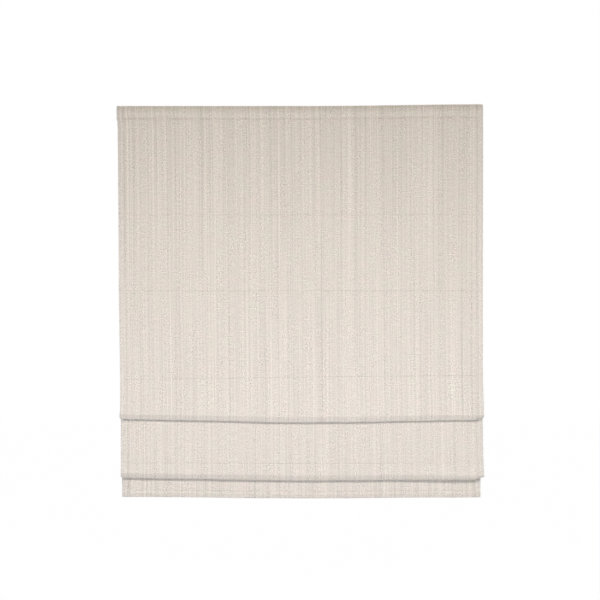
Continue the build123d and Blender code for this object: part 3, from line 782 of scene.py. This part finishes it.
def rodSleeve(number):
    centre = middle(f"rod_{number}")
    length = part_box("fabric_panel")[1][0] * 2 - 2 * sleeveCut["endInset"]
    deselectAll()
    bpy.ops.mesh.primitive_cylinder_add(vertices=18, radius=sleeveCut["outside"], depth=length,
                                        end_fill_type="NOTHING", location=centre,
                                        rotation=(0, math.pi / 2, 0))
    sleeve = takeNew(f"rodSleeve{number}")
    settle(sleeve)
    bpy.ops.object.mode_set(mode="EDIT")
    bpy.ops.mesh.select_mode(type="EDGE")
    bpy.ops.mesh.select_all(action="DESELECT")
    bpy.ops.object.mode_set(mode="OBJECT")
    for edge in sleeve.data.edges:
        ends = [sleeve.data.vertices[v].co.x for v in edge.vertices]
        edge.select = abs(ends[0] - ends[1]) > length / 2
    bpy.ops.object.mode_set(mode="EDIT")
    bpy.ops.mesh.subdivide(number_cuts=sleeveCut["cuts"])
    bpy.ops.object.mode_set(mode="OBJECT")
    flatMap = sleeve.data.uv_layers[0]
    flatMap.name = "flatCloth"
    for point in sleeve.data.vertices:
        away = Vector((0, point.co.y - centre.y, point.co.z - centre.z))
        turn = math.atan2(away.y, away.z)
        wrinkle = noise.noise(Vector((point.co.x / sleeveCut["wrinkleLength"], number * 3.7, turn)))
        point.co += away.normalized() * sleeveCut["slack"] * wrinkle
    for loop in sleeve.data.loops:
        spot = sleeve.data.vertices[loop.vertex_index].co
        turn = math.atan2(spot.y - centre.y, spot.z - centre.z)
        flatMap.data[loop.index].uv = (spot.x, number + turn * sleeveCut["wrapRadius"])
    addModifier(sleeve, "SOLIDIFY", thickness=sleeveCut["wall"], offset=-1)
    dress(sleeve, linen)
    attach(sleeve, rodBodies[number - 1])
    return sleeve


sleeves = [rodSleeve(number) for number in range(1, 7)]
print("rod sleeves:", len(sleeves))


# Stitches: one small lozenge of thread, repeated along each sewn line; the thread's dark colour is painted
# shade of the sewn lines
stitchSet = {
    "length": 0.0026,
    "thick": 0.00058,
    "pitch": 0.0034,
    "count": 282,
    "sink": 0.00005,
    "uneven": 0.0003,
    # the top row is thicker, so that more of the darkened thread shows as painted shade along the hem line
    "topThick": 0.00085,
    "tackThick": 0.0013,    # the brown tack at the lower left
    "tackCount": 6,
    "tackAbove": 0.024,
    "tackAcross": -0.4729,
    "tackLean": 0.12,
}


def stitchRow(name, along, count, material, number=None, across=None):
    spot = onLine(along)
    out = outward(along)
    upright = across is not None
    thick = stitchSet["tackThick" if upright else "topThick" if number == 0 else "thick"]
    start = across if upright else -(count - 1) * stitchSet["pitch"] / 2
    deselectAll()
    bpy.ops.mesh.primitive_uv_sphere_add(segments=6, ring_count=4, radius=0.5, location=(0, 0, 0))
    row = takeNew(name)
    row.scale = (stitchSet["length"], thick, thick * 1.3)
    if upright:
        row.rotation_euler = (0, math.pi / 2 - stitchSet["tackLean"], 0)
    row.location = Vector((start, 0, 0)) + spot - out * stitchSet["sink"]
    settle(row)
    step = (0, 0, -stitchSet["pitch"]) if upright else (stitchSet["pitch"], 0, 0)
    addModifier(row, "ARRAY", count=count, use_relative_offset=False, use_constant_offset=True,
                constant_offset_displace=step)
    for point in row.data.vertices:  # follow the cloth's own rise and the drawn-in line
        point.co.z += clothLift(point.co.x, along)
        if upright:
            lower = along + spot.z - point.co.z
            point.co.y += clothPoint(lower, ("flat", 0, across))[0].y - spot.y
        else:
            rise = seamRise(point.co.x, number)
            sunk = stitchSet["uneven"] * noise.noise(Vector((point.co.x / 0.06, number * 5.0, 8.8)))
            point.co -= out * (seamDepth(point.co.x, number) + sunk)
            point.co.y += onLine(along - rise).y - spot.y
            point.co.z += rise
    dress(row, material)
    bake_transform(row)
    return row


seamNames = [
    "topHemStitches",
    "rod1Stitches",
    "rod2Stitches",
    "rod3Stitches",
    "rod5Stitches",
    "barPocketStitches",
]
for number, (name, seam) in enumerate(zip(seamNames, seams)):
    stitchRow(name, seam, stitchSet["count"], seamShadeThread, number=number)
stitchRow("hemTack", bottomStitch - stitchSet["tackAbove"], stitchSet["tackCount"],
                          brownThread, across=stitchSet["tackAcross"])


# Lift cords: taut from spool to anchor, through the rings
cordRun = {
    "diameter": 0.0014,
    "leadIn": 6,            # diameters over which a cord bends into a ring
    "turns": 9,
    "names": ("left", "centre", "right"),
}


def liftCord(name):
    low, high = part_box(f"lift_cord_{name}")
    across = (low[0] + high[0]) / 2
    rings = [middle(f"{row}_row_rings") for row in ("second", "fourth", "sixth")]
    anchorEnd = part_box("cord_anchors")[0][2]
    cordExit = Vector((across, low[1] + cordRun["diameter"] / 2, high[2]))
    route = [cordExit]
    for ring in rings:
        spot = Vector((across, ring.y, ring.z))
        route.append(spot + (route[-1] - spot).normalized() * cordRun["leadIn"] * cordRun["diameter"])
        route.append(spot)
    route.append(Vector((across, rings[2].y, anchorEnd)))
    deselectAll()
    curve = bpy.data.curves.new(f"liftCord_{name}", "CURVE")
    curve.dimensions = "3D"
    spline = curve.splines.new("NURBS")
    spline.points.add(len(route) - 1)
    for point, place in zip(spline.points, route):
        point.co = (*place, 1)
    spline.order_u = 3
    spline.use_endpoint_u = True
    spline.resolution_u = 14
    curve.bevel_depth = cordRun["diameter"] / 2
    curve.bevel_resolution = 2
    curve.use_fill_caps = True
    cord = bpy.data.objects.new(f"liftCord_{name}", curve)
    bpy.context.collection.objects.link(cord)
    cord.select_set(True)
    bpy.context.view_layer.objects.active = cord
    bpy.ops.object.convert(target="MESH")
    cord = takeNew(f"liftCord_{name}")
    dress(cord, cordBraid)
    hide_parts(f"lift_cord_{name}")
    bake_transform(cord)
    return cord


cords = [liftCord(name) for name in cordRun["names"]]
print("lift cords:", len(cords))


# The cord already wound on each spool, as close turns
def woundCord():
    low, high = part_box("cord_windings")
    axis = middle("lift_shaft")
    thick = cordRun["diameter"]
    radius = (high[2] - low[2]) / 2 - thick / 2
    spacing = middle("lift_cord_right").x
    packs = []
    for start in (low[0], low[0] + spacing, low[0] + 2 * spacing):
        deselectAll()
        bpy.ops.mesh.primitive_circle_add(vertices=9, radius=thick / 2, location=(0, 0, radius),
                                          rotation=(math.pi / 2, 0, 0))
        pack = takeNew("woundCord")
        settle(pack)
        addModifier(pack, "SCREW", axis="X", screw_offset=thick, iterations=cordRun["turns"] - 1,
                    steps=28, render_steps=28)
        pack.location = (start + thick / 2, axis.y, axis.z)
        settle(pack)
        packs.append(pack)
    wound = joinPieces("woundCord", packs)
    bpy.ops.object.mode_set(mode="EDIT")
    bpy.ops.mesh.select_all(action="SELECT")
    bpy.ops.mesh.fill_holes(sides=0)
    bpy.ops.mesh.normals_make_consistent(inside=False)
    bpy.ops.object.mode_set(mode="OBJECT")
    dress(wound, cordBraid)
    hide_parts("cord_windings")
    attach(wound, "lift_shaft")
    return wound


woundCord()
print("wound cord done")


# Rings: round in section, with the fine line that the mould leaves, and a thread tie to the sleeve
ringSet = {
    "major": 0.0036,
    "minor": 0.0009,
    "flash": 1.04,
    "tieRadius": 0.00026,
    "tieShare": 0.12,       # a tie's thickness on the plain loop that it is scaled from
    "tieSpread": 0.0006,
    "tieHeight": 0.0016,
    "tieOverlap": 0.0006,
}


def ringRow(row, rod, body):
    spacing = middle("lift_cord_right").x
    centre = middle(f"{row}_row_rings")
    rodCentre = middle(f"rod_{rod}")
    side = 1 if rodCentre.y > centre.y else -1
    rings = []
    ties = []
    for across in (-spacing, 0, spacing):
        deselectAll()
        bpy.ops.mesh.primitive_torus_add(major_radius=ringSet["major"], minor_radius=ringSet["minor"],
                                         major_segments=36, minor_segments=12,
                                         location=(across, centre.y, centre.z))
        ring = takeNew(f"{row}Ring")
        settle(ring)
        for point in ring.data.vertices:  # the raised line round the widest part
            away = Vector((point.co.x - across, point.co.y - centre.y, 0))
            if away.length > ringSet["major"] + 0.98 * ringSet["minor"]:
                point.co += away.normalized() * ringSet["minor"] * (ringSet["flash"] - 1)
        rings.append(ring)
        reach = abs(rodCentre.y - centre.y) - ringSet["major"]
        tieY = centre.y + side * (ringSet["major"] + reach / 2 - ringSet["tieOverlap"])
        for lean in (-ringSet["tieSpread"], 0, ringSet["tieSpread"]):
            deselectAll()
            bpy.ops.mesh.primitive_torus_add(major_radius=1.0, minor_radius=ringSet["tieShare"],
                                             major_segments=20, minor_segments=6,
                                             rotation=(0, math.pi / 2, 0))
            tie = takeNew("ringTie")
            settle(tie)
            tie.scale = (ringSet["tieRadius"] / ringSet["tieShare"], reach / 2, ringSet["tieHeight"])
            tie.location = (across + lean, tieY, centre.z)
            settle(tie)
            ties.append(tie)
    joined = joinPieces(f"{row}Rings", rings)
    dress(joined, finishes["clear_plastic"])
    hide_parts(f"{row}_row_rings")
    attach(joined, body)
    tied = joinPieces(f"{row}RingTies", ties)
    dress(tied, seamShadeThread)
    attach(tied, body)


ringRow("second", 2, "ring_rod")
ringRow("fourth", 4, "lift_stack")
ringRow("sixth", 6, "lift_stack")
print("rings done")


# Room: a pale floor well below the blind, a white surround, and soft light from the front and below
room = {
    "floorDrop": 0.35,
    "floorSize": 14,
    "floorColour": "#C2C2C0",
    "floorGlow": 1.02,
    "glowShare": 0.97,      # the rest of the floor still takes the blind's shadow
    "fill": 0.32,
    "fillTint": "#FFF9F0",
}
lamps = {
    "frontLight": {
        "place": (0, -1.75, -0.12),
        "target": (0, -0.03, -0.95),
        "size": (3.4, 0.30),
        "power": 16.5,
        "tint": "#FFFAF4",
        "spread": 140,
    },
    "lowLight": {
        "place": (0, -1.40, -1.00),
        "target": (0, -0.03, -1.02),
        "size": (3.0, 0.30),
        "power": 6.2,
        "tint": "#E2ECFF",
        "spread": 140,
    },
}


def seenDirectly(tree):  # 1 where the camera, a reflection or clear plastic sees the surface
    path = addNode(tree, "ShaderNodeLightPath")
    seen = addNode(tree, "ShaderNodeMath", {"operation": "MAXIMUM"},
                   {0: path.outputs["Is Camera Ray"], 1: path.outputs["Is Glossy Ray"]})
    return addNode(tree, "ShaderNodeMath", {"operation": "MAXIMUM"},
                   {0: seen.outputs[0], 1: path.outputs["Is Transmission Ray"]})


def paleFloor():
    deselectAll()
    bpy.ops.mesh.primitive_plane_add(size=room["floorSize"],
                                     location=(0, -1.5, panelBottom - room["floorDrop"]))
    floor = takeNew("paleFloor")
    settle(floor)
    material, tree, shader = newMaterial("paleFloorPaint")
    shader.inputs["Base Color"].default_value = hexColour(room["floorColour"])
    shader.inputs["Roughness"].default_value = 0.9
    glow = addNode(tree, "ShaderNodeEmission", {"Color": (1, 1, 1, 1), "Strength": room["floorGlow"]})
    seen = seenDirectly(tree)
    share = addNode(tree, "ShaderNodeMath", {"operation": "MULTIPLY", 1: room["glowShare"]},
                    {0: seen.outputs[0]})
    mixed = addNode(tree, "ShaderNodeMixShader", {},
                    {0: share.outputs[0], 1: shader.outputs[0], 2: glow.outputs[0]})
    tree.links.new(mixed.outputs[0], tree.nodes["Material Output"].inputs["Surface"])
    floor.data.materials.append(material)


def whiteSurround():
    world = bpy.data.worlds.new("whiteSurround")
    bpy.context.scene.world = world
    world.use_nodes = True
    tree = world.node_tree
    tree.nodes.clear()
    fillColour = hexColour(room["fillTint"])
    fill = addNode(tree, "ShaderNodeBackground", {"Color": fillColour, "Strength": room["fill"]})
    white = addNode(tree, "ShaderNodeBackground", {"Color": (1, 1, 1, 1), "Strength": 1.0})
    seen = seenDirectly(tree)
    mixed = addNode(tree, "ShaderNodeMixShader", {},
                    {0: seen.outputs[0], 1: fill.outputs[0], 2: white.outputs[0]})
    addNode(tree, "ShaderNodeOutputWorld", {}, {"Surface": mixed.outputs[0]})


def softLight(name, place, target, size, power, tint, spread):
    deselectAll()
    bpy.ops.object.light_add(type="AREA", location=place)
    lamp = bpy.context.active_object
    lamp.name = name
    lamp.data.shape = "RECTANGLE"
    lamp.data.size = size[0]
    lamp.data.size_y = size[1]
    lamp.data.energy = power
    lamp.data.color = hexColour(tint)[:3]
    lamp.data.spread = math.radians(spread)
    lamp.visible_camera = False
    lamp.rotation_euler = (Vector(target) - Vector(place)).to_track_quat("-Z", "Y").to_euler()


paleFloor()
whiteSurround()
for name, lamp in lamps.items():
    softLight(name, **lamp)

# Camera: level, straight in front of the blind
view = {
    "distance": 3.2,
    "pixels": 600,
    "blindPixels": 366.5,   # width of the cloth in the picture
    "middlePixel": 299.3,
    "topPixel": 105.8,
    "sensor": 36,           # mm
}


def frontCamera():
    low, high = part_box("fabric_panel")
    metresPerPixel = (high[0] - low[0]) / view["blindPixels"]
    frameWidth = metresPerPixel * view["pixels"]
    across = (view["pixels"] / 2 - view["middlePixel"]) * metresPerPixel
    up = high[2] - (view["pixels"] / 2 - view["topPixel"]) * metresPerPixel
    deselectAll()
    bpy.ops.object.camera_add(location=(across, low[1] - view["distance"], up),
                              rotation=(math.pi / 2, 0, 0))
    camera = bpy.context.active_object
    camera.name = "frontCamera"
    camera.data.sensor_width = view["sensor"]
    camera.data.lens = view["sensor"] * view["distance"] / frameWidth
    bpy.context.scene.camera = camera


frontCamera()
bpy.context.scene.view_settings.view_transform = "Standard"
print("room, light and camera ready")
